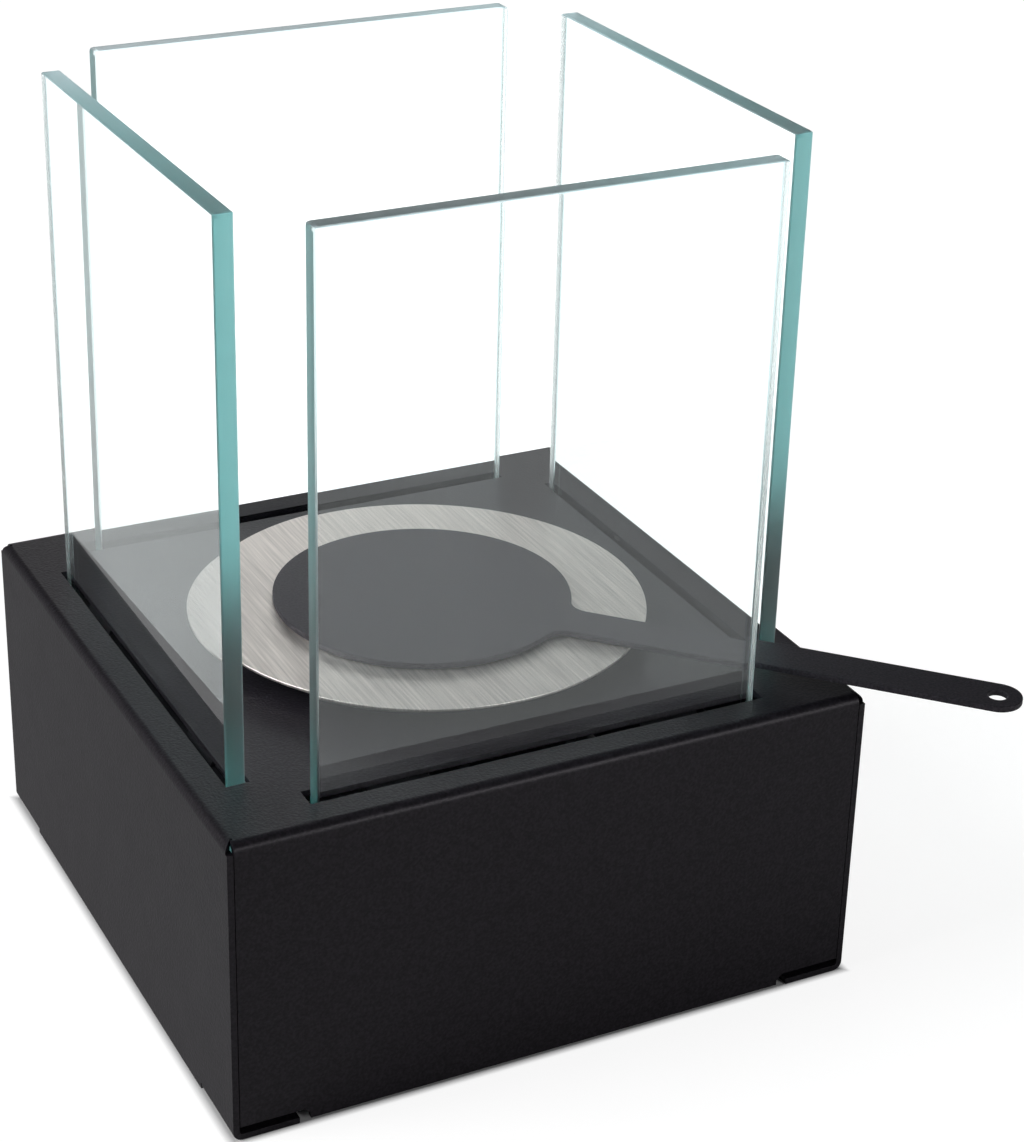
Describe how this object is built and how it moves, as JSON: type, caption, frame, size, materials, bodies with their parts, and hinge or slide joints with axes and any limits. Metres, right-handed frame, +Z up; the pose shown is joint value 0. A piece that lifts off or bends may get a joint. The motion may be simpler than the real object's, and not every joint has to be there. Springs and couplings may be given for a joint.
{
  "type": "bioethanol fireplace",
  "caption": "Table fireplace for bioethanol: folded square casing, clear glass panes in slots, round burner with a flat ring, and a snuffer lid with a long handle.",
  "frame": {"origin": "middle of the casing's footprint, on the surface that its four feet stand on", "axes": "+Z up, -Y towards the front, +X to the right as seen from the front; the snuffer's handle points between +X and -Y"},
  "size_m": [0.2446, 0.2464, 0.2725],
  "materials": {
    "powder_coat": "fine textured black powder coat",
    "rail_coat": "black powder coat",
    "lid_coat": "fine textured black powder coat",
    "silicone": "translucent, satin",
    "zinc_plate": "bright zinc plate",
    "galvanised_sheet": "galvanised sheet",
    "float_glass": "clear, ground edges",
    "brushed_stainless": "straight brushed",
    "drawn_stainless": "mill finish",
    "ceramic_fibre": "felted fibre"
  },
  "bodies": {
    "casing": {"casing_shell": "powder_coat", "rail_front": "rail_coat", "rail_back": "rail_coat", "rail_left": "rail_coat", "rail_right": "rail_coat", "pads_front": "silicone", "pads_back": "silicone", "pads_left": "silicone", "pads_right": "silicone", "rail_studs": "zinc_plate", "rail_washers": "zinc_plate", "rail_nuts": "zinc_plate", "burner_cradle": "galvanised_sheet", "cradle_studs": "zinc_plate", "cradle_washers": "zinc_plate", "cradle_nuts": "zinc_plate"},
    "front_pane": {"pane_front": "float_glass"},
    "back_pane": {"pane_back": "float_glass"},
    "left_pane": {"pane_left": "float_glass"},
    "right_pane": {"pane_right": "float_glass"},
    "burner": {"burner_ring": "brushed_stainless", "burner_can": "drawn_stainless", "absorbent_fill": "ceramic_fibre", "burner_screen": "drawn_stainless"},
    "snuffer": {"snuffer_lid": "lid_coat"}
  },
  "joints": [
    {"name": "front_pane_lift", "type": "slide", "parent": "casing", "child": "front_pane", "axis": [0, 0, 1], "range_m": [0, 0.035]},
    {"name": "back_pane_lift", "type": "slide", "parent": "casing", "child": "back_pane", "axis": [0, 0, 1], "range_m": [0, 0.035]},
    {"name": "left_pane_lift", "type": "slide", "parent": "casing", "child": "left_pane", "axis": [0, 0, 1], "range_m": [0, 0.035]},
    {"name": "right_pane_lift", "type": "slide", "parent": "casing", "child": "right_pane", "axis": [0, 0, 1], "range_m": [0, 0.035]},
    {"name": "burner_lift", "type": "slide", "parent": "casing", "child": "burner", "axis": [0, 0, 1], "range_m": [0, 0.215]},
    {"name": "snuffer_lift", "type": "slide", "parent": "burner", "child": "snuffer", "axis": [0, 0, 1], "range_m": [0, 0.18]}
  ]
}
